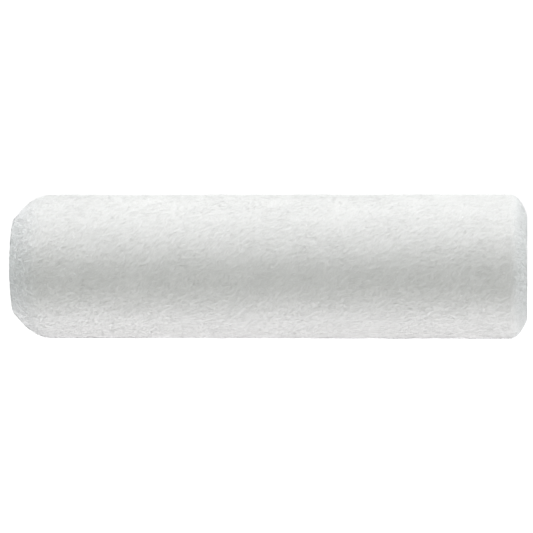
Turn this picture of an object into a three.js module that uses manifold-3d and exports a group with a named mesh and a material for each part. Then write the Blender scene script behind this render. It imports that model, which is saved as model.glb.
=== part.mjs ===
// Paint roller cover: a sleeve wound from strips, with a pile fabric on the outside.
//
// Two plastic strips and one strip of pile fabric are wound in the same helix and bonded
// to each other. The core is a tube that slides on the cage of a roller frame, and the
// pile stands on the fabric's backing, bevelled and rounded over at both ends.
//
// Millimetres, +Z up. The bore's axis is X and the origin is the middle of the bore.
// The end whose pile has the long bevel is at -X.

import * as THREE from 'three';
import { mergeVertices } from 'three/addons/utils/BufferGeometryUtils.js';
import Module from 'manifold-3d';

const wasm = await Module();
wasm.setup();

// Driving dimensions
const CORE_LENGTH = 228.6; // nine inches
const BORE_RADIUS = 19.05; // an inch and a half across
const CORE_STRIP_THICKNESS = 0.6;
const CORE_BOND_THICKNESS = 0.15;
const FABRIC_BOND_THICKNESS = 0.2;
const BACKING_THICKNESS = 0.6;
const PLY_GAP = 0.05; // clearance between neighbouring layers
const PILE_RADIUS = 32.6;
const FABRIC_WIDTH = 73; // width of the fabric strip before it is wound
const SEAM_GAP = 0.4; // along the axis, between a strip's own edges

// Ends of the pile. overhang: how far it reaches past the core; flat: width of the plain
// annular face; depth: length of the bevel along the axis; roundness: the bevel's exponent,
// where 1 is a straight chamfer and more makes it run out smoothly into the full radius.
const LEFT_END = { overhang: 2, flat: 0.3, depth: 17, roundness: 2.1 };
const RIGHT_END = { overhang: 1, flat: 2.6, depth: 8, roundness: 2.3 };
const BEVEL_STEPS = 9;

// Where each strip's seam crosses the middle of the core, in turns: no two seams coincide
const INNER_SEAM = 0;
const OUTER_SEAM = 0.5;
const BACKING_SEAM = 0.25;

const FACETS = 64; // per turn, the same for every layer, so that layers stay apart
const SPARE_TURNS = 2; // of strip, past the core's ends, before it is cut to length
const MERGE_TOLERANCE = 1e-4;

// Layers from the bore outwards, each as [inner radius, outer radius]
const layerRadii = stackLayers({
  coreInnerStrip: CORE_STRIP_THICKNESS,
  coreBond: CORE_BOND_THICKNESS,
  coreOuterStrip: CORE_STRIP_THICKNESS,
  fabricBond: FABRIC_BOND_THICKNESS,
  backing: BACKING_THICKNESS,
});
const PILE_INNER_RADIUS = layerRadii.backing[1] + PLY_GAP;

// A strip of width w whose edges butt on a cylinder of circumference c climbs at
// asin(w / c). All strips leave the winder together, so they share the fabric's pitch.
const windingCircumference = Math.PI * (layerRadii.backing[0] + layerRadii.backing[1]);
const helixAngle = Math.asin(FABRIC_WIDTH / windingCircumference);
const PITCH = FABRIC_WIDTH / Math.cos(helixAngle);

const corePlastic = new THREE.MeshStandardMaterial({
  color: '#dcdeda', roughness: 0.45, metalness: 0,
});
const bondPlastic = new THREE.MeshStandardMaterial({
  color: '#c9cbc4', roughness: 0.35, metalness: 0,
});
const groundCloth = new THREE.MeshStandardMaterial({
  color: '#e6e4dd', roughness: 0.9, metalness: 0,
});
const pileFibre = new THREE.MeshStandardMaterial({
  color: '#f1f2f1', roughness: 0.95, metalness: 0,
});

function stackLayers(thicknesses) {
  const radii = {};
  let inner = BORE_RADIUS;
  for (const [layer, thickness] of Object.entries(thicknesses)) {
    radii[layer] = [inner, inner + thickness];
    inner += thickness + PLY_GAP;
  }
  return radii;
}

// Turns a profile of [axial, radial] points into a ring about the X axis. The profile runs
// from -X to +X along the outside, and the ring's inner wall closes it.
function revolve(profile) {
  const points = profile.map(([axial, radial]) => new THREE.Vector2(radial, axial));
  return new THREE.LatheGeometry([...points, points[0]], FACETS).rotateZ(-Math.PI / 2);
}

function tube([inner, outer], length) {
  const half = length / 2;
  return revolve([[-half, inner], [-half, outer], [half, outer], [half, inner]]);
}

// A flat strip bent round the X axis in a helix, longer than the core at both ends.
function helicalStrip([inner, outer], seamShift) {
  const turns = Math.ceil(CORE_LENGTH / PITCH) + SPARE_TURNS;
  const start = -(turns * PITCH) / 2 + seamShift * PITCH;
  const flat = new THREE.BoxGeometry(turns, 1, 1, turns * FACETS, 1, 1);
  const corners = flat.getAttribute('position');
  for (let i = 0; i < corners.count; i++) {
    const turn = corners.getX(i) + turns / 2;
    const across = corners.getY(i) + 0.5;
    const through = corners.getZ(i) + 0.5;
    const angle = turn * 2 * Math.PI;
    const radius = inner + through * (outer - inner);
    const axial = start + turn * PITCH + across * (PITCH - SEAM_GAP) - PITCH / 2;
    corners.setXYZ(i, axial, -radius * Math.sin(angle), radius * Math.cos(angle));
  }
  return flat;
}

function toManifold(geometry) {
  const bare = geometry.clone();
  bare.deleteAttribute('normal');
  bare.deleteAttribute('uv');
  const merged = mergeVertices(bare, MERGE_TOLERANCE);
  return new wasm.Manifold(new wasm.Mesh({
    numProp: 3,
    vertProperties: Float32Array.from(merged.getAttribute('position').array),
    triVerts: Uint32Array.from(merged.getIndex().array),
  }));
}

function toGeometry(solid) {
  const { vertProperties, triVerts } = solid.getMesh();
  const geometry = new THREE.BufferGeometry();
  geometry.setAttribute('position', new THREE.BufferAttribute(vertProperties, 3));
  geometry.setIndex(new THREE.BufferAttribute(triVerts, 1));
  geometry.computeVertexNormals();
  return geometry;
}

// Both ends of every strip are sawn off square with the core.
function cutToLength(geometry) {
  const reach = 2 * PILE_RADIUS;
  const saw = new THREE.BoxGeometry(CORE_LENGTH, reach, reach);
  return toGeometry(toManifold(geometry).intersect(toManifold(saw)));
}

// The bevel at one end of the pile, from its face to its full radius, as
// [distance from the face, radius] points.
function bevel({ flat, depth, roundness }) {
  const faceRadius = PILE_INNER_RADIUS + flat;
  const rise = PILE_RADIUS - faceRadius;
  const points = [];
  for (let step = 0; step <= BEVEL_STEPS; step++) {
    const along = step / BEVEL_STEPS;
    points.push([depth * along, faceRadius + rise * (1 - (1 - along) ** roundness)]);
  }
  return points;
}

function pileBody() {
  const leftFace = -CORE_LENGTH / 2 - LEFT_END.overhang;
  const rightFace = CORE_LENGTH / 2 + RIGHT_END.overhang;
  const left = bevel(LEFT_END).map(([axial, radial]) => [leftFace + axial, radial]);
  const right = bevel(RIGHT_END).map(([axial, radial]) => [rightFace - axial, radial]);
  return revolve([
    [leftFace, PILE_INNER_RADIUS],
    ...left,
    ...right.reverse(),
    [rightFace, PILE_INNER_RADIUS],
  ]);
}

function piece(name, geometry, material) {
  const mesh = new THREE.Mesh(geometry, material);
  mesh.name = name;
  return mesh;
}

const innerStrip = cutToLength(helicalStrip(layerRadii.coreInnerStrip, INNER_SEAM));
const outerStrip = cutToLength(helicalStrip(layerRadii.coreOuterStrip, OUTER_SEAM));
const backingStrip = cutToLength(helicalStrip(layerRadii.backing, BACKING_SEAM));

const group = new THREE.Group();
group.add(
  piece('core_inner_strip', innerStrip, corePlastic),
  piece('core_bond_layer', tube(layerRadii.coreBond, CORE_LENGTH), bondPlastic),
  piece('core_outer_strip', outerStrip, corePlastic),
  piece('fabric_bond_layer', tube(layerRadii.fabricBond, CORE_LENGTH), bondPlastic),
  piece('fabric_backing_strip', backingStrip, groundCloth),
  piece('pile', pileBody(), pileFibre),
);

export default group;
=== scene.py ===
import math

import bpy
import numpy as np
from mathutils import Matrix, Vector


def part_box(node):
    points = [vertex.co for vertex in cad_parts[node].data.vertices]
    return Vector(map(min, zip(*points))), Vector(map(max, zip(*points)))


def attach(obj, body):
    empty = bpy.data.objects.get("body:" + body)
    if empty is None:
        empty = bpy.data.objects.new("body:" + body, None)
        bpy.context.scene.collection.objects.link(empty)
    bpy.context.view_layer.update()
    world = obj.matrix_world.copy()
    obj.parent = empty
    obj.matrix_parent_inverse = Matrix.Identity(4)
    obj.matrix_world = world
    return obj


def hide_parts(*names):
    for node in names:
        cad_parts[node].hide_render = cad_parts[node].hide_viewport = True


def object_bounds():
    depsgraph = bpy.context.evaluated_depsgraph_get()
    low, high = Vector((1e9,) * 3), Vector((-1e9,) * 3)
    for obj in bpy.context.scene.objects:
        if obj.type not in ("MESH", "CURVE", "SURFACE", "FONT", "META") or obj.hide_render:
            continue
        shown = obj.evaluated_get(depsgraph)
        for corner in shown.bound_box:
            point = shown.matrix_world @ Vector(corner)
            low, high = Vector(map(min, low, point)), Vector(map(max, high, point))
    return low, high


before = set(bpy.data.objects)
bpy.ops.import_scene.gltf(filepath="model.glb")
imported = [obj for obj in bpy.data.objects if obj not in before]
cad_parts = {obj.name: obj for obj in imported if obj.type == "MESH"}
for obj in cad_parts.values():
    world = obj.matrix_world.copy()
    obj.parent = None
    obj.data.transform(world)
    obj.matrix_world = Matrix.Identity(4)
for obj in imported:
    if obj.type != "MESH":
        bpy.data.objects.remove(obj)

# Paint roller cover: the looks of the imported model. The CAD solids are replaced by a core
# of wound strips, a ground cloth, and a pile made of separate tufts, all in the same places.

CAD_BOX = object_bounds()
MM = 0.001
TURN = 2 * math.pi
SEED = 20


def radii(node):
    """Smallest and largest distance of a CAD node's corners from the X axis."""
    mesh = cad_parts[node].data
    corners = np.empty(len(mesh.vertices) * 3)
    mesh.vertices.foreach_get("co", corners)
    distance = np.hypot(corners[1::3], corners[2::3])
    return float(distance.min()), float(distance.max())


# Places and sizes, from the frame
PILE_LOW, PILE_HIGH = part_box("pile")
CORE_LOW, CORE_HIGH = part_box("core_inner_strip")
PILE_INNER, PILE_OUTER = radii("pile")
CLOTH_INNER, CLOTH_OUTER = radii("fabric_backing_strip")

# The strips' winding, as in the CAD model: all are wound at the pitch of the fabric strip
FABRIC_WIDTH = 73 * MM
SEAM_GAP = 0.4 * MM
CLOTH_MIDDLE = (CLOTH_INNER + CLOTH_OUTER) / 2
PITCH = FABRIC_WIDTH / math.cos(math.asin(FABRIC_WIDTH / (TURN * CLOTH_MIDDLE)))
INNER_SEAM = 0.0
OUTER_SEAM = 0.5
CLOTH_SEAM = 0.25

# Meshes of the wound layers: rows from seam to seam, columns from end to end
LAYER_ROWS = 160
LAYER_COLUMNS = 200
SEAM_CROWDING = 0.9  # how far the rows crowd towards a strip's edges, from 0 to 1
SAWN_EDGE = 0.2 * MM
FIRST_COLUMN = 5 * SAWN_EDGE  # from a sawn end to the first of the evenly spaced columns
EDGE_ROLL = 0.7 * MM
WAVE_CELLS = 12  # size of the walls' waves, in rows and columns
LINE_CELLS = 2  # width of the lines along a strip, in rows
CREASE = math.radians(40)

# Looks of the wound layers. waves, lines: unevenness of the walls, at random and along the
# strip. edge: thinning at a strip's edges. spread: how far the walls stand beyond the CAD
# ones. ragged, burr: unevenness and inner lip of the sawn ends. bead: how deep a closed film
# reaches into its neighbour's slit, or 0 for a strip, which has a slit of its own.
STRIP = {"waves": 0.02 * MM, "lines": 0.01 * MM, "edge": 0.16 * MM, "spread": 0.0,
         "ragged": 0.07 * MM, "burr": 0.06 * MM, "bead": 0.0}
MELT = {"waves": 0.008 * MM, "lines": 0.0, "edge": 0.0, "spread": 0.042 * MM,
        "ragged": 0.2 * MM, "burr": 0.0, "bead": 0.3 * MM}
CLOTH = {"waves": 0.03 * MM, "lines": 0.02 * MM, "edge": 0.12 * MM, "spread": 0.02 * MM,
         "ragged": 0.3 * MM, "burr": 0.0, "bead": 0.0}
YARN_PITCH_MM = 1.1

# Cut yarns of the ground cloth, at each of its sawn ends
YARN_ENDS = 110
YARN_ROOT = 0.5 * MM
YARN_ELBOW = 0.1 * MM
YARN_LENGTHS_MM = (0.25, 0.75)
YARN_MARGIN = 0.12 * MM  # kept from the cloth's faces
YARN_UNEVENNESS = 0.3  # of the yarns' spacing
YARN_TURN = 0.008  # radians round the axis, from root to tip
YARN_SPREAD = 0.1 * MM
YARN_TONES_MM = 9  # width of the weave that the yarns' tones are taken from
YARN_LOOKS = {"width": 0.34 * MM, "thickness": 0.18 * MM}

# The pile's bevelled ends, as in the CAD model: plain face beside the core, depth along the
# axis and exponent
LEFT_BEVEL = {"face": 0.3 * MM, "depth": 17 * MM, "exponent": 2.1}
RIGHT_BEVEL = {"face": 2.6 * MM, "depth": 8 * MM, "exponent": 2.3}
NORMAL_REACH = 1.5 * MM  # both ways along the outline, over which its direction is taken

# The nap: a felted body of fibre, and on it tufts that lie over towards +X and upwards
NAP_CELL = 0.4 * MM
NAP_INSET = 0.35 * MM  # of the body's surface below the pile's outline
NAP_BORE_COLUMNS = 12
NAP_STREAKS = 0.03 * MM
NAP_STREAK_CELLS = 5
NAP_CRACKS = 0.03 * MM
CRACK_LEVEL = -1  # in the streaks' deviations
NAP_LUMPS = 0.05 * MM
LUMP_CELLS = 8
NAP_SWELL = 0.14 * MM
SWELL_CELLS = 24
NAP_RELIEF = 0.6  # share of the surface's slopes in how the tufts catch light
STREAK_RELIEF = 0.5  # the streaks' own part in those slopes
LEAN_FROM_AXIS = math.radians(35)
LEAN_MARGIN = 2 * MM  # at each end, where the nap lies straight along the cover
LEAN_IN_LEFT = 20 * MM
LEAN_IN_RIGHT = 14 * MM
SWAY = 0.45  # radians, for each size of cloud in the lie
SWAY_CELLS = (20, 7)

# Tufts and single fibres. The taper is each ring's place from root to tip and its girth.
TUFT_SPACING = 0.65 * MM
TUFT_TAPER = ((0.0, 0.8), (0.4, 1.0), (0.8, 0.7))
TUFT_ROUNDNESS = math.radians(14)
TUFT_BANDS = 14
ELBOW_PART = 0.55  # of the reach, from tip to root
ELBOW_LIFT = 0.02 * MM
RISES = (0.15, 1)
REACHES = (0.5, 1.2)
WIDTHS = (0.5, 1.3)
THICKNESSES = (0.6, 1.3)
FIBRE_STAND = 1.7  # share of the fibres' own radial direction in how the bevels catch light
STRAY_COUNT = 8000
STRAYS_ON_BEVEL = 0.5
STRAY_SCATTER = 4.5 * MM
STRAY_MARGIN = 1 * MM

# Fibres at the inner edge of each end. The places and the fall of the tip are shares of the
# room between the ends of the core and of the pile.
EDGE_FIBRES = 1800
EDGE_PLACES = (0.25, 0.95)
EDGE_FALL = 0.2
EDGE_TURN = 0.04  # radians, from root to tip
EDGE_ROOT = 0.6 * MM
EDGE_ELBOW = 0.15 * MM
EDGE_BEND = 0.3  # share of the reach that is made at the elbow
EDGE_REACH = 0.28 * MM
EDGE_LONGEST = 1.4 * MM
EDGE_LOOKS = {"width": 0.2 * MM, "thickness": 0.08 * MM}

# Lamps, in metres and watts, and the light of the surroundings
LAMP_DISTANCE = 1.2
LONG_BOX = (1.8, 0.5)
BACK_BOX = (1.8, 0.6)
END_BOX = (0.8, 0.8)
FILL_COLOUR = (0.945, 1, 0.875, 1)
FILL_STRENGTH = 0.545
WHITE = (1, 1, 1, 1)
WHITE_STRENGTH = 1.05
FLOOR_GLOW = (0.94, 0.94, 0.94, 1)


# ---------------------------------------------------------------- mesh helpers

def add_mesh(name, points, faces, material, smooth=True, normals=None, fields=None, uvs=None):
    """A mesh object from an array of points and arrays of faces with equal corner counts.
    Normals and fields have a value for each point, and uvs one for each face corner."""
    mesh = bpy.data.meshes.new(name)
    mesh.vertices.add(len(points))
    mesh.vertices.foreach_set("co", np.asarray(points, np.float32).ravel())
    corners = np.concatenate([block.ravel() for block in faces])
    sizes = np.concatenate([np.full(len(block), block.shape[1]) for block in faces])
    mesh.loops.add(len(corners))
    mesh.loops.foreach_set("vertex_index", corners)
    mesh.polygons.add(len(sizes))
    mesh.polygons.foreach_set("loop_start", np.concatenate([[0], np.cumsum(sizes)[:-1]]))
    mesh.polygons.foreach_set("use_smooth", np.full(len(sizes), smooth))
    mesh.update(calc_edges=True)
    for label, values in (fields or {}).items():
        mesh.attributes.new(label, "FLOAT", "POINT").data.foreach_set("value", values.ravel())
    if uvs is not None:
        mesh.uv_layers.new(name="OFBake").uv.foreach_set("vector", uvs.ravel())
    if normals is not None:
        mesh.normals_split_custom_set_from_vertices(normals)
    mesh.materials.append(material)
    piece = bpy.data.objects.new(name, mesh)
    bpy.context.scene.collection.objects.link(piece)
    return piece


def place(piece, slot, *nodes):
    """Fixes a finished piece to the model, in place of the CAD nodes it stands for."""
    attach(piece, "root")
    if nodes:
        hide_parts(*nodes)


def around_axis(axial, radius, angle):
    """Points of a cylinder about X, where angle 0 is at the top and grows towards -Y."""
    return np.stack([axial, -radius * np.sin(angle), radius * np.cos(angle)], axis=-1)


def grid_faces(rows, columns, wrap_rows=False, wrap_columns=False):
    """Quads of a grid of points stored row by row."""
    row = np.arange(rows if wrap_rows else rows - 1)[:, None]
    column = np.arange(columns if wrap_columns else columns - 1)[None, :]
    next_row = (row + 1) % rows
    next_column = (column + 1) % columns
    corners = [
        row * columns + column,
        next_row * columns + column,
        next_row * columns + next_column,
        row * columns + next_column,
    ]
    return np.stack([c.ravel() for c in corners], axis=1)


def grid_uvs(rows, columns):
    """Corners on a square map, for grid_faces of a grid that goes round in both directions."""
    row, column = np.indices((rows, columns)).reshape(2, -1)
    corners = [(row, column), (row + 1, column), (row + 1, column + 1), (row, column + 1)]
    return np.stack([np.stack([r / rows, c / columns], axis=1) for r, c in corners], axis=1)


def sample(values, row, column):
    """Values of a grid between its points; columns go round and rows stop at the edge."""
    row = np.clip(row, 0, values.shape[0] - 1.001)
    low_row = row.astype(int)
    low_column = np.floor(column).astype(int)
    row_part, column_part = row - low_row, column - low_column
    left = low_column % values.shape[1]
    right = (low_column + 1) % values.shape[1]
    low = values[low_row, left] * (1 - column_part) + values[low_row, right] * column_part
    high = values[low_row + 1, left] * (1 - column_part) + values[low_row + 1, right] * column_part
    return low * (1 - row_part) + high * row_part


def cloudy(rng, shape, size):
    """A grid of smooth random values from -1 to 1, in clouds of a given size in cells."""
    rows, columns = (max(3, round(count / size)) for count in shape)
    coarse = rng.uniform(-1, 1, (rows + 3, columns))
    row, column = np.meshgrid(
        np.linspace(0, rows, shape[0]),
        np.linspace(0, columns, shape[1], endpoint=False),
        indexing="ij",
    )
    row = np.floor(row) + smooth_step(row % 1)
    column = np.floor(column) + smooth_step(column % 1)
    return sample(coarse, row, column)


def smooth_step(value):
    """0 up to 0 and 1 from 1, with an even curve between them."""
    value = np.clip(value, 0, 1)
    return value * value * (3 - 2 * value)


def streaky(rng, heading, length):
    """A grid of random streaks along the headings, with mean 0 and deviation 1."""
    noise = cloudy(rng, heading.shape, 2)
    start_row, start_column = np.indices(heading.shape, float)
    total = noise.copy()
    for sense in (1, -1):
        row, column = start_row.copy(), start_column.copy()
        for _ in range(length // 2):
            angle = sample(heading, row, column)
            row += sense * np.cos(angle)
            column -= sense * np.sin(angle)
            total += sample(noise, row, column)
    total -= total.mean()
    return total / total.std()


# ---------------------------------------------------------------- materials

def tree(owner):
    """The nodes and links of a material or a world."""
    return owner.node_tree.nodes, owner.node_tree.links


def new_material(name, colour, roughness, **inputs):
    """A material with a plain finish, which stays below any pattern that is laid over it."""
    material = bpy.data.materials.new(name)
    material.use_nodes = True
    shader = tree(material)[0]["Principled BSDF"]
    shader.inputs["Base Color"].default_value = (*colour, 1)
    shader.inputs["Roughness"].default_value = roughness
    for socket, value in inputs.items():
        shader.inputs[socket.replace("_", " ")].default_value = value
    return material


def field(material, name, scale=1.0):
    """A value stored on the mesh's points, scaled."""
    nodes, links = tree(material)
    stored = nodes.new("ShaderNodeAttribute")
    stored.attribute_name = name
    scaled = nodes.new("ShaderNodeMath")
    scaled.operation = "MULTIPLY"
    scaled.inputs[1].default_value = scale
    links.new(stored.outputs["Fac"], scaled.inputs[0])
    return scaled.outputs["Value"]


def calculate(material, operation, *values):
    """The result of a Math node on numbers and other nodes' values."""
    nodes, links = tree(material)
    node = nodes.new("ShaderNodeMath")
    node.operation = operation
    for socket, value in zip(node.inputs, values):
        if isinstance(value, (int, float)):
            socket.default_value = value
        else:
            links.new(value, socket)
    return node.outputs["Value"]


def noise(material, scale, detail=3, vector=None):
    """Noise through space, at a scale in cells per metre, or over a given vector."""
    nodes, links = tree(material)
    texture = nodes.new("ShaderNodeTexNoise")
    texture.inputs["Scale"].default_value = scale
    texture.inputs["Detail"].default_value = detail
    if vector is None:
        vector = nodes.new("ShaderNodeTexCoord").outputs["Object"]
    links.new(vector, texture.inputs["Vector"])
    return texture.outputs["Fac"]


def on_strip(material, across_scale, along_scale):
    """A vector of the place on a wound strip, from its millimetres across and along."""
    nodes, links = tree(material)
    vector = nodes.new("ShaderNodeCombineXYZ")
    links.new(field(material, "across", across_scale), vector.inputs["X"])
    links.new(field(material, "along", along_scale), vector.inputs["Y"])
    return vector.outputs["Vector"]


def tint(material, pattern, dark, light):
    """Colours the surface between two tones by a pattern."""
    nodes, links = tree(material)
    mix = nodes.new("ShaderNodeMix")
    mix.data_type = "RGBA"
    mix.inputs["A"].default_value = (*dark, 1)
    mix.inputs["B"].default_value = (*light, 1)
    links.new(pattern, mix.inputs["Factor"])
    links.new(mix.outputs["Result"], nodes["Principled BSDF"].inputs["Base Color"])


def roughen(material, pattern, smoothest, roughest):
    """Varies the roughness between two values by a pattern."""
    nodes, links = tree(material)
    levels = nodes.new("ShaderNodeMapRange")
    levels.inputs["To Min"].default_value = smoothest
    levels.inputs["To Max"].default_value = roughest
    links.new(pattern, levels.inputs["Value"])
    links.new(levels.outputs["Result"], nodes["Principled BSDF"].inputs["Roughness"])


def emboss(material, pattern, height, strength=1.0):
    """Raises the surface's fine relief by a pattern, up to a height in metres."""
    nodes, links = tree(material)
    bump = nodes.new("ShaderNodeBump")
    bump.inputs["Distance"].default_value = height
    bump.inputs["Strength"].default_value = strength
    links.new(pattern, bump.inputs["Height"])
    links.new(bump.outputs["Normal"], nodes["Principled BSDF"].inputs["Normal"])


def tuft_material():
    """White fibre, each tuft a little lighter or darker than its neighbours."""
    material = new_material("pile tufts", (0.9, 0.9, 0.89), 0.9)
    tint(material, field(material, "shade"), (0.8, 0.8, 0.79), (0.98, 0.98, 0.98))
    return material


def felt_material():
    """The fibre below the tufts, mottled, and a little darker than the tufts as painted shade from
    the tufts over it.
    """
    material = new_material("pile felt", (0.86, 0.86, 0.85), 0.95)
    pattern = noise(material, scale=900)
    # painted shade: the felt's tones sit a little below the tufts', for the shade that falls under
    # them
    tint(material, pattern, (0.82, 0.82, 0.81), (0.92, 0.92, 0.91))
    emboss(material, pattern, 0.15 * MM, 0.4)
    return material


def core_material():
    """Milky extruded strip: satin and cloudy, with fine lines along its length."""
    material = new_material("core plastic", (0.74, 0.75, 0.73), 0.42, IOR=1.49)
    along_strip = on_strip(material, across_scale=0.6, along_scale=0.008)
    lines = noise(material, scale=1, detail=5, vector=along_strip)
    clouds = noise(material, scale=60, detail=2)
    contrast, offset = 1.6, -0.6
    milkiness = calculate(material, "MULTIPLY_ADD", lines, contrast, offset)
    milkiness = calculate(material, "ADD", milkiness, clouds)
    tint(material, milkiness, (0.56, 0.57, 0.55), (0.84, 0.85, 0.83))
    roughen(material, lines, 0.25, 0.5)
    emboss(material, lines, 0.3 * MM)
    return material


def bond_material():
    """Solidified melt: glossier than the strips, uneven and a little darker."""
    material = new_material("bond plastic", (0.6, 0.61, 0.58), 0.3, IOR=1.49)
    ripples = noise(material, scale=1100, detail=2)
    tint(material, noise(material, scale=300), (0.36, 0.37, 0.35), (0.5, 0.51, 0.48))
    roughen(material, ripples, 0.2, 0.42)
    emboss(material, ripples, 0.08 * MM, 0.7)
    return material


def cloth_material():
    """Plain ground cloth: yarns one way over yarns the other way."""
    material = new_material("ground cloth", (0.8, 0.79, 0.75), 0.9, Sheen_Weight=0.2)
    per_yarn = TURN / YARN_PITCH_MM
    warp = calculate(material, "SINE", field(material, "across", per_yarn))
    weft = calculate(material, "SINE", field(material, "along", per_yarn))
    crossing = calculate(material, "MULTIPLY", warp, weft)
    contrast, middle = 0.35, 0.5
    weave = calculate(material, "MULTIPLY_ADD", crossing, contrast, middle)
    pattern = calculate(material, "MULTIPLY", weave, noise(material, scale=2600))
    tint(material, pattern, (0.66, 0.65, 0.61), (0.94, 0.93, 0.89))
    emboss(material, weave, 0.15 * MM)
    return material


# ---------------------------------------------------------------- core and cloth

def seam_spaced(first, last, count, closed):
    """Angles from one edge of a strip to the other, closer together beside the edges."""
    part = np.linspace(0, 1, count, endpoint=not closed)
    part -= SEAM_CROWDING * np.sin(TURN * part) / TURN
    return first + part * (last - first)


def lengthwise(low, high):
    """Axial places of a layer's columns, with one just inside each sawn end."""
    left = [low, low + SAWN_EDGE]
    right = [high - SAWN_EDGE, high]
    between = LAYER_COLUMNS - len(left) - len(right)
    inside = np.linspace(low + FIRST_COLUMN, high - FIRST_COLUMN, between)
    return np.concatenate([left, inside, right])


def layer_walls(rng, inner, outer, sweep, looks):
    """Radii of a layer's outer and inner walls, over its rows and columns."""
    slit = SEAM_GAP / PITCH * TURN
    from_seam = np.minimum(sweep - sweep[0], TURN + sweep[0] - sweep) / TURN * PITCH
    from_edge = np.minimum(sweep - slit, TURN - sweep) / TURN * PITCH
    waves = looks["waves"] * cloudy(rng, (LAYER_ROWS, LAYER_COLUMNS), WAVE_CELLS)
    lines = looks["lines"] * cloudy(rng, (3, LAYER_ROWS), LINE_CELLS)[0][:, None]
    thinning = looks["edge"] * np.exp(-np.maximum(from_edge, 0) / EDGE_ROLL)
    bead = looks["bead"] * np.clip(1 - (from_seam / (SEAM_GAP / 2)) ** 2, 0, 1)
    outer_wall = outer + looks["spread"] + waves - lines - thinning
    inner_wall = inner - looks["spread"] + waves + lines + thinning - bead
    return outer_wall, inner_wall


def out_and_back(outside, inside):
    """Columns along the outer wall, and then back along the inner one."""
    return np.concatenate([outside, inside[:, ::-1]], axis=1)


def wound_layer(name, node, seam, material, slot, looks):
    """One layer, from seam to seam of a strip wound in a helix: a strip with a slit at its
    seam, or a closed film with a bead there, which fills part of its neighbour's slit."""
    rng = np.random.default_rng([SEED, looks["seed"]])
    inner, outer = radii(node)
    low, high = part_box(node)
    closed = looks["bead"] > 0
    slit = SEAM_GAP / PITCH * TURN
    first, last = (slit / 2, TURN + slit / 2) if closed else (slit, TURN)
    sweep = seam_spaced(first, last, LAYER_ROWS, closed)[:, None]
    axial = lengthwise(low.x, high.x)
    angle = (axial / PITCH - seam) * TURN + sweep
    outer_wall, inner_wall = layer_walls(rng, inner, outer, sweep, looks)

    sawn = np.zeros(LAYER_COLUMNS)
    sawn[[0, -1]] = -1, 1
    ragged = looks["ragged"] * rng.uniform(0, 1, (2, LAYER_ROWS, LAYER_COLUMNS)) * sawn
    burr = looks["burr"] * rng.uniform(0, 1, (LAYER_ROWS, 1)) * abs(sawn)
    loop_axial = out_and_back(axial + ragged[0], axial + ragged[1])
    loop_radius = out_and_back(outer_wall, inner_wall - burr)
    loop_angle = out_and_back(angle, angle)
    points = around_axis(loop_axial, loop_radius, loop_angle)

    faces, uvs = layer_faces(closed)
    across = np.broadcast_to(sweep / TURN * PITCH / MM, loop_angle.shape)
    fields = {"across": across, "along": loop_angle * outer / MM}
    piece = add_mesh(name, points.reshape(-1, 3), faces, material, fields=fields, uvs=uvs)
    piece.data.set_sharp_from_angle(angle=CREASE)
    place(piece, slot, node)


def layer_faces(closed):
    """Faces of a wound layer and their corners on the map: its walls and sawn ends, and the
    two faces of its slit unless it is closed."""
    width = 2 * LAYER_COLUMNS
    walls = grid_faces(LAYER_ROWS, width, wrap_rows=closed, wrap_columns=True)
    uvs = grid_uvs(LAYER_ROWS, width)[:len(walls)].reshape(-1, 2)
    if closed:
        return [walls], uvs
    step = np.arange(LAYER_COLUMNS - 1)
    cap = np.stack([step, step + 1, width - 2 - step, width - 1 - step], axis=1)
    far_cap = (LAYER_ROWS - 1) * width + cap[:, ::-1]
    return [walls, cap, far_cap], np.concatenate([uvs, cap_uvs(LAYER_COLUMNS - 1, LAYER_ROWS)])


def cap_uvs(count, rows):
    """Corners on the map for a strip's two slit faces: two shelves, in the last of the map's
    rows, which the walls leave free."""
    step = np.arange(count)
    shelf_height = 0.3
    corners = []
    for shelf in (0.1, 0.5):
        low = np.full(count, (rows - 1 + shelf) / rows)
        high = low + shelf_height / rows
        corners.append(np.stack([
            np.stack([low, step / count], axis=1),
            np.stack([low, (step + 1) / count], axis=1),
            np.stack([high, (step + 1) / count], axis=1),
            np.stack([high, step / count], axis=1),
        ], axis=1).reshape(-1, 2))
    return np.concatenate(corners)


def core_layers():
    """The sleeve under the pile, from the bore outwards."""
    core, bond, cloth = core_material(), bond_material(), cloth_material()
    wound_layer("core_inner_wall", "core_inner_strip", INNER_SEAM, core, "core_plastic",
                {**STRIP, "seed": 1})
    wound_layer("core_bond_film", "core_bond_layer", INNER_SEAM, bond, "bond_plastic",
                {**MELT, "seed": 2})
    wound_layer("core_outer_wall", "core_outer_strip", OUTER_SEAM, core, "core_plastic",
                {**STRIP, "seed": 3})
    wound_layer("fabric_bond_film", "fabric_bond_layer", OUTER_SEAM, bond, "bond_plastic",
                {**MELT, "seed": 4})
    wound_layer("ground_cloth", "fabric_backing_strip", CLOTH_SEAM, cloth, "ground_cloth",
                {**CLOTH, "seed": 5})
    yarn_ends(cloth)


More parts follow.
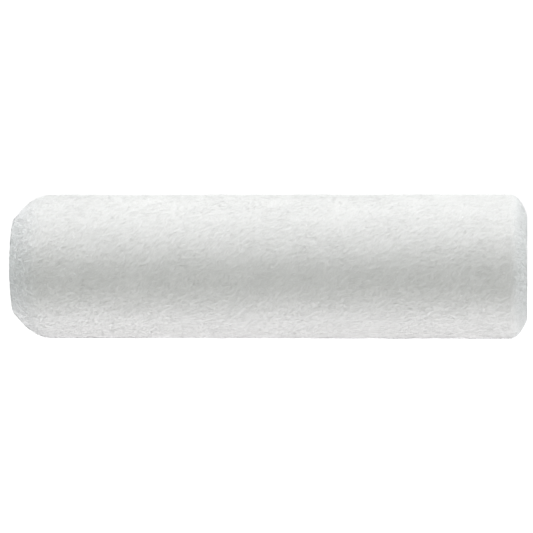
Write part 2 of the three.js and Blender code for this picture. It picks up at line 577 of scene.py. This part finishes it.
def yarn_ends(material):
    """Cut ends of the ground cloth's yarns, standing out of its sawn edges."""
    rng = np.random.default_rng([SEED, 6])
    count = 2 * YARN_ENDS
    sense = np.repeat([-1.0, 1.0], YARN_ENDS)
    end = np.where(sense < 0, CORE_LOW.x, CORE_HIGH.x)
    angle = np.tile(np.linspace(0, TURN, YARN_ENDS, endpoint=False), 2)
    angle = angle + rng.normal(0, YARN_UNEVENNESS, count) * TURN / YARN_ENDS
    radius = rng.uniform(CLOTH_INNER + YARN_MARGIN, CLOTH_OUTER - YARN_MARGIN, count)
    turned = angle + rng.normal(0, YARN_TURN, count)
    root = around_axis(end - sense * YARN_ROOT, radius, angle)
    elbow = around_axis(end + sense * YARN_ELBOW, radius, angle)
    length = rng.uniform(*YARN_LENGTHS_MM, count) * MM
    tip = around_axis(end + sense * length, radius + rng.normal(0, YARN_SPREAD, count), turned)
    outward = around_axis(np.zeros(count), np.ones(count), angle)
    on_weave = {"across": rng.uniform(0, YARN_TONES_MM, count)}
    on_weave["along"] = rng.uniform(0, YARN_TONES_MM, count)
    shape = (root, elbow, tip, outward)
    piece = spikes("cloth_yarn_ends", material, shape, YARN_LOOKS, on_weave)
    place(piece, "ground_cloth")


# ---------------------------------------------------------------- pile

def bevel_curve(face, depth, exponent, steps=120):
    """Depth from the end face and radius along a bevelled end, from the core outwards."""
    along = np.linspace(0, 1, steps)
    face_radius = PILE_INNER + face
    radius = face_radius + (PILE_OUTER - face_radius) * (1 - (1 - along) ** exponent)
    return np.concatenate([[0], depth * along]), np.concatenate([[PILE_INNER], radius])


def outline():
    """The pile's outline from the left end's inner edge to the right one's: axial places,
    radii, and distances along the outline."""
    left_depth, left_radius = bevel_curve(**LEFT_BEVEL)
    right_depth, right_radius = bevel_curve(**RIGHT_BEVEL)
    axial = np.concatenate([PILE_LOW.x + left_depth, PILE_HIGH.x - right_depth[::-1]])
    radius = np.concatenate([left_radius, right_radius[::-1]])
    run = np.concatenate([[0], np.cumsum(np.hypot(np.diff(axial), np.diff(radius)))])
    return axial, radius, run


OUTLINE_AXIAL, OUTLINE_RADIUS, OUTLINE_RUN = outline()
OUTLINE_LENGTH = OUTLINE_RUN[-1]


def change_along(values, run):
    """How far a value of the outline changes from a little before a place to after it."""
    before = np.clip(run - NORMAL_REACH, 0, OUTLINE_LENGTH)
    after = np.clip(run + NORMAL_REACH, 0, OUTLINE_LENGTH)
    return np.interp(after, OUTLINE_RUN, values) - np.interp(before, OUTLINE_RUN, values)


def on_outline(run):
    """Axial place, radius and outward direction (axial, radial) at distances along it."""
    axial = np.interp(run, OUTLINE_RUN, OUTLINE_AXIAL)
    radius = np.interp(run, OUTLINE_RUN, OUTLINE_RADIUS)
    axial_step = change_along(OUTLINE_AXIAL, run)
    radial_step = change_along(OUTLINE_RADIUS, run)
    length = np.hypot(axial_step, radial_step)
    return axial, radius, -radial_step / length, axial_step / length


def nap_fields():
    """Grids over (distance along the outline, angle): the heading of the lie, measured from
    the outline towards smaller angles, the surface's height, and its slopes both ways."""
    rng = np.random.default_rng(SEED)
    shape = (round(OUTLINE_LENGTH / NAP_CELL) + 1, round(TURN * PILE_OUTER / NAP_CELL))
    run = np.linspace(0, OUTLINE_LENGTH, shape[0])[:, None]
    from_left = smooth_step((run - LEAN_MARGIN) / LEAN_IN_LEFT)
    from_right = smooth_step((OUTLINE_LENGTH - run - LEAN_MARGIN) / LEAN_IN_RIGHT)
    heading = LEAN_FROM_AXIS * from_left * from_right
    for cells in SWAY_CELLS:
        heading = heading + SWAY * cloudy(rng, shape, cells)
    streaks = streaky(rng, heading, NAP_STREAK_CELLS)
    swell = NAP_SWELL * cloudy(rng, shape, SWELL_CELLS)
    swell += NAP_LUMPS * cloudy(rng, shape, LUMP_CELLS)
    cracks = NAP_CRACKS * smooth_step(CRACK_LEVEL - streaks)
    height = swell + NAP_STREAKS * streaks - cracks
    relief = NAP_RELIEF * (swell + STREAK_RELIEF * NAP_STREAKS * streaks)
    slope_run, slope_around = np.gradient(relief, NAP_CELL)
    return {
        "heading": heading,
        "height": height,
        "slope_run": slope_run,
        "slope_around": slope_around,
    }


def nap_body(material, height):
    """The closed mass of felted fibre just under the tips."""
    rows, around = height.shape
    run = np.linspace(0, OUTLINE_LENGTH, rows)
    axial, radius, normal_axial, normal_radial = on_outline(run)
    lift = height.T - NAP_INSET
    grid_axial = axial + lift * normal_axial
    grid_radius = np.maximum(radius + lift * normal_radial, PILE_INNER)
    angle = np.linspace(0, TURN, around, endpoint=False)[:, None]
    outer = around_axis(grid_axial, grid_radius, np.broadcast_to(angle, (around, rows)))
    bore = (around, NAP_BORE_COLUMNS)
    inner_axial = np.linspace(axial[-1], axial[0], NAP_BORE_COLUMNS + 2)[1:-1]
    inner = around_axis(
        np.broadcast_to(inner_axial, bore),
        np.full(bore, PILE_INNER),
        np.broadcast_to(angle, bore),
    )
    points = np.concatenate([outer, inner], axis=1)
    columns = rows + NAP_BORE_COLUMNS
    faces = grid_faces(around, columns, wrap_rows=True, wrap_columns=True)
    uvs = grid_uvs(around, columns)
    piece = add_mesh("nap_body", points.reshape(-1, 3), [faces], material, uvs=uvs)
    place(piece, "pile_fibre", "pile")


def unit(vectors):
    """The vectors at a length of 1."""
    return vectors / np.linalg.norm(vectors, axis=-1, keepdims=True)


def tuft_mesh(root, elbow, tip, outward, width, thickness):
    """Closed, flattened spikes curving from root to tip: points, faces and normals."""
    rings, normals = [], []
    for station, girth in TUFT_TAPER:
        middle = (
            (1 - station) ** 2 * root
            + 2 * station * (1 - station) * elbow
            + station**2 * tip
        )
        along = unit((1 - station) * (elbow - root) + station * (tip - elbow))
        side = unit(np.cross(along, outward))
        up = np.cross(side, along)
        half = side * np.reshape(girth * width / 2, (-1, 1))
        crown = up * np.reshape(girth * thickness, (-1, 1))
        rings.extend([middle - half, middle + crown, middle + half])
        flank = math.sin(TUFT_ROUNDNESS) * side
        crest = math.cos(TUFT_ROUNDNESS) * outward
        normals.extend([crest - flank, outward, crest + flank])
    points = np.stack([*rings, tip], axis=1).reshape(-1, 3)
    normals = np.stack([*normals, outward], axis=1).reshape(-1, 3)
    return points, spike_faces(len(root)), normals


def spike_faces(count):
    """Faces of many spikes of three-cornered rings and a tip, as quads and triangles."""
    last = len(TUFT_TAPER) - 1
    walls = []
    for ring in range(last):
        for corner in range(3):
            a, b = ring * 3 + corner, ring * 3 + (corner + 1) % 3
            walls.append((a, b, b + 3, a + 3))
    apex = 3 * len(TUFT_TAPER)
    ends = [(3 * last + corner, 3 * last + (corner + 1) % 3, apex) for corner in range(3)]
    ends.append((2, 1, 0))
    base = np.arange(count)[:, None, None] * (apex + 1)
    return [(base + np.array(walls)).reshape(-1, 4), (base + np.array(ends)).reshape(-1, 3)]


def spike_uvs(count):
    """A bake map in which every spike has a square of its own."""
    side = math.ceil(math.sqrt(count))
    square = np.stack(np.divmod(np.arange(count), side), axis=1)
    margin, corner_step, ring_step = 0.1, 0.4, 0.3
    inside = [(margin + corner_step * corner, margin + ring_step * ring)
              for ring in range(len(TUFT_TAPER)) for corner in range(3)]
    inside.append((0.5, 0.95))
    return ((square[:, None] + np.array(inside)) / side).reshape(-1, 2)


def spikes(name, material, shape, looks, fields):
    """One piece of many spikes. The shape is their roots, elbows, tips and outward
    directions, and the fields have a value for each spike."""
    root, elbow, tip, outward = shape
    points, faces, normals = tuft_mesh(
        root, elbow, tip, outward, looks["width"], looks["thickness"]
    )
    corners = np.concatenate([block.ravel() for block in faces])
    per_spike = 3 * len(TUFT_TAPER) + 1
    repeated = {label: np.repeat(values, per_spike) for label, values in fields.items()}
    uvs = spike_uvs(len(root))[corners]
    return add_mesh(
        name, points, faces, material, normals=normals, fields=repeated, uvs=uvs
    )


def scatter(rng, spacing):
    """Places spread evenly over the nap: distances along the outline and angles."""
    rows = int(OUTLINE_LENGTH / spacing)
    columns = int(TURN * PILE_OUTER / spacing)
    row, column = np.indices((rows, columns)).reshape(2, -1)
    run = (row + rng.uniform(0, 1, row.size)) * OUTLINE_LENGTH / rows
    angle = (column + rng.uniform(0, 1, row.size)) * TURN / columns
    radius = np.interp(run, OUTLINE_RUN, OUTLINE_RADIUS)
    kept = rng.uniform(0, 1, row.size) < radius / PILE_OUTER
    return run[kept], angle[kept]


def on_nap(run, angle, nap):
    """Points on the nap's surface, and the directions out of it, along it and up it."""
    rows, columns = nap["height"].shape
    row = run / OUTLINE_LENGTH * (rows - 1)
    column = angle / TURN * columns
    axial, radius, normal_axial, normal_radial = on_outline(run)
    outward = unit(around_axis(normal_axial, normal_radial, angle))
    along = unit(around_axis(normal_radial, -normal_axial, angle))
    up = np.cross(outward, along)
    lift = sample(nap["height"], row, column) - NAP_INSET
    surface = around_axis(axial, radius, angle) + outward * lift[:, None]
    slope_run = sample(nap["slope_run"], row, column)[:, None]
    slope_around = sample(nap["slope_around"], row, column)[:, None]
    radial = around_axis(0 * angle, np.ones_like(angle), angle)
    standing = unit(outward + FIBRE_STAND * radial)
    facing = unit(standing - slope_run * along + slope_around * up)
    return {"surface": surface, "outward": outward, "along": along, "up": up, "facing": facing}


def lying_spikes(name, material, rng, places, nap, looks):
    """One piece of spikes that lie over from their roots in the nap to their tips. The nap's
    lie leads from the left end to the right one, and each spike follows the surface."""
    run, angle = places
    count = len(run)
    rows, columns = nap["heading"].shape
    lie = sample(nap["heading"], run / OUTLINE_LENGTH * (rows - 1), angle / TURN * columns)
    lie = lie + rng.normal(0, looks["scatter"], count)
    rise = looks["rise"] * rng.uniform(*RISES, count)[:, None]
    reach = looks["reach"] * rng.uniform(*REACHES, count)
    radius = np.interp(run, OUTLINE_RUN, OUTLINE_RADIUS)

    def behind(part):
        """The nap under a spike, at a part of its reach behind its tip."""
        back = np.clip(run - part * reach * np.cos(lie), 0, OUTLINE_LENGTH)
        return on_nap(back, angle + part * reach * np.sin(lie) / radius, nap)

    at_root, at_elbow, at_tip = behind(1.0), behind(ELBOW_PART), behind(0.0)
    root = at_root["surface"] - at_root["outward"] * looks["depth"]
    elbow = at_elbow["surface"] + at_elbow["outward"] * (rise + ELBOW_LIFT)
    tip = at_tip["surface"] + at_tip["outward"] * rise
    tilt = looks["tilt"] * rng.normal(0, 1, (2, count, 1))
    facing = unit(at_elbow["facing"] + tilt[0] * at_elbow["along"] + tilt[1] * at_elbow["up"])
    girth = {
        "width": looks["width"] * rng.uniform(*WIDTHS, count),
        "thickness": looks["thickness"] * rng.uniform(*THICKNESSES, count),
    }
    shade = np.clip(rng.normal(looks["shade"], looks["mottle"], count), 0, 1)
    piece = spikes(name, material, (root, elbow, tip, facing), girth, {"shade": shade})
    place(piece, "pile_fibre")


def pile_tufts(material, nap):
    """Tufts over the whole nap, in bands along the cover."""
    rng = np.random.default_rng(SEED + 1)
    run, angle = scatter(rng, TUFT_SPACING)
    looks = {
        "scatter": 0.3,
        "rise": 0.24 * MM,
        "reach": 2.2 * MM,
        "depth": 0.6 * MM,
        "width": 0.32 * MM,
        "thickness": 0.09 * MM,
        "tilt": 0.04,
        "shade": 0.55,
        "mottle": 0.19,
    }
    order = np.argsort(run, kind="stable")
    for band, members in enumerate(np.array_split(order, TUFT_BANDS)):
        name = f"pile_tufts_{band + 1:02d}"
        lying_spikes(name, material, rng, (run[members], angle[members]), nap, looks)


def stray_fibres(material, nap):
    """Single fibres that cross the lie, about half of them on the long bevel or beside it."""
    rng = np.random.default_rng(SEED + 2)
    angle = rng.uniform(0, TURN, STRAY_COUNT)
    on_bevel = rng.uniform(0, 1, STRAY_COUNT) < STRAYS_ON_BEVEL
    near_end = rng.gamma(3, STRAY_SCATTER, STRAY_COUNT)
    anywhere = rng.uniform(0, OUTLINE_LENGTH, STRAY_COUNT)
    run = np.where(on_bevel, near_end, anywhere)
    run = np.clip(run, STRAY_MARGIN, OUTLINE_LENGTH - STRAY_MARGIN)
    looks = {
        "scatter": 1.1,
        "rise": 0.3 * MM,
        "reach": 3.0 * MM,
        "depth": 0.5 * MM,
        "width": 0.24 * MM,
        "thickness": 0.1 * MM,
        "tilt": 0.2,
        # painted highlight: the strays' tone is lighter than the tufts', for the light that these
        # standing fibres catch
        "shade": 0.95,
        "mottle": 0.1,
    }
    lying_spikes("stray_fibres", material, rng, (run, angle), nap, looks)


def edge_fibres(material):
    """Pile fibres at the inner edges of both ends, bent in over the ends of the core."""
    rng = np.random.default_rng(SEED + 3)
    count = 2 * EDGE_FIBRES
    sense = np.repeat([-1.0, 1.0], EDGE_FIBRES)
    core_end = np.where(sense < 0, CORE_LOW.x, CORE_HIGH.x)
    room = np.where(sense < 0, CORE_LOW.x - PILE_LOW.x, PILE_HIGH.x - CORE_HIGH.x)
    axial = core_end + sense * room * rng.uniform(*EDGE_PLACES, count)
    angle = rng.uniform(0, TURN, count)
    turned = angle + rng.normal(0, EDGE_TURN, count)
    reach = rng.gamma(2, EDGE_REACH, count)
    root = around_axis(axial, np.full(count, PILE_INNER + EDGE_ROOT), angle)
    elbow = around_axis(axial + sense * EDGE_ELBOW, PILE_INNER - EDGE_BEND * reach, angle)
    tip_radius = PILE_INNER - np.minimum(reach, EDGE_LONGEST)
    tip = around_axis(axial - sense * EDGE_FALL * room, tip_radius, turned)
    outward = np.stack([sense, np.zeros(count), np.zeros(count)], axis=1)
    shade = {"shade": np.clip(rng.normal(0.6, 0.2, count), 0, 1)}
    piece = spikes("edge_fibres", material, (root, elbow, tip, outward), EDGE_LOOKS, shade)
    place(piece, "pile_fibre")


# ---------------------------------------------------------------- stage, light and camera

def add_floor():
    """A light table: it looks white, throws little light back, and lets a lamp below through."""
    half = 5.0
    level = PILE_LOW.z
    corners = [(-half, -half), (half, -half), (half, half), (-half, half)]
    material = new_material("floor", (0.25, 0.25, 0.25), 0.9)
    nodes, links = tree(material)
    shader = nodes["Principled BSDF"]
    shader.inputs["Emission Color"].default_value = FLOOR_GLOW
    path = nodes.new("ShaderNodeLightPath")
    links.new(path.outputs["Is Camera Ray"], shader.inputs["Emission Strength"])
    points = [(x, y, level) for x, y in corners]
    floor = add_mesh("floor", points, [np.array([[0, 1, 2, 3]])], material, smooth=False)
    floor.visible_shadow = False


def add_softbox(name, azimuth, elevation, size, watts, colour):
    """A rectangular lamp facing the origin; azimuth 0 is the camera's side, 90 is +X."""
    around, up = math.radians(azimuth), math.radians(elevation)
    light = bpy.data.lights.new(name, "AREA")
    light.shape = "RECTANGLE"
    light.size, light.size_y = size
    light.energy = watts
    light.color = colour
    lamp = bpy.data.objects.new(name, light)
    lamp.location = (
        LAMP_DISTANCE * math.cos(up) * math.sin(around),
        -LAMP_DISTANCE * math.cos(up) * math.cos(around),
        LAMP_DISTANCE * math.sin(up),
    )
    lamp.rotation_mode = "QUATERNION"
    lamp.rotation_quaternion = (-lamp.location).to_track_quat("-Z", "Y")
    lamp.visible_camera = False
    bpy.context.scene.collection.objects.link(lamp)


def add_lights():
    """Soft light from above and below, which leaves the middle darkest, and dimmer fills."""
    add_softbox("top softbox", 0, 65, LONG_BOX, watts=11.6, colour=(0.96, 0.925, 1))
    add_softbox("table lamp", 0, -90, LONG_BOX, watts=16.7, colour=(1, 0.99, 1))
    add_softbox("back softbox", 180, 5, BACK_BOX, watts=3.4, colour=(0.95, 0.97, 1))
    add_softbox("left softbox", -90, 10, END_BOX, watts=2.7, colour=(0.66, 0.81, 1))
    add_softbox("right softbox", 90, 12, END_BOX, watts=3.6, colour=(0.78, 0.86, 1))


def add_world():
    """White to the camera, and a dim even fill for the light."""
    world = bpy.data.worlds.new("studio")
    bpy.context.scene.world = world
    world.use_nodes = True
    nodes, links = tree(world)
    fill = nodes["Background"]
    fill.inputs["Color"].default_value = FILL_COLOUR
    fill.inputs["Strength"].default_value = FILL_STRENGTH
    white = nodes.new("ShaderNodeBackground")
    white.inputs["Color"].default_value = WHITE
    white.inputs["Strength"].default_value = WHITE_STRENGTH
    path = nodes.new("ShaderNodeLightPath")
    mix = nodes.new("ShaderNodeMixShader")
    links.new(path.outputs["Is Camera Ray"], mix.inputs["Fac"])
    links.new(fill.outputs["Background"], mix.inputs[1])
    links.new(white.outputs["Background"], mix.inputs[2])
    links.new(mix.outputs["Shader"], nodes["World Output"].inputs["Surface"])


def add_camera():
    """A long lens level with the bore, straight opposite the cover's right end."""
    distance = 1.86
    frame_width = 0.24
    aim = 1.6 * MM
    data = bpy.data.cameras.new("camera")
    camera = bpy.data.objects.new("camera", data)
    data.lens = data.sensor_width * distance / frame_width
    camera.location = (PILE_HIGH.x, -distance, 0)
    target = (CAD_BOX[0] + CAD_BOX[1]) / 2
    target.x -= aim
    camera.rotation_mode = "QUATERNION"
    camera.rotation_quaternion = (target - camera.location).to_track_quat("-Z", "Y")
    data.clip_end = 20
    bpy.context.scene.collection.objects.link(camera)
    bpy.context.scene.camera = camera


def main():
    bpy.context.scene.view_settings.view_transform = "Standard"
    core_layers()
    nap = nap_fields()
    nap_body(felt_material(), nap["height"])
    fibre = tuft_material()
    pile_tufts(fibre, nap)
    stray_fibres(fibre, nap)
    edge_fibres(fibre)
    add_floor()
    add_lights()
    add_world()
    add_camera()


main()
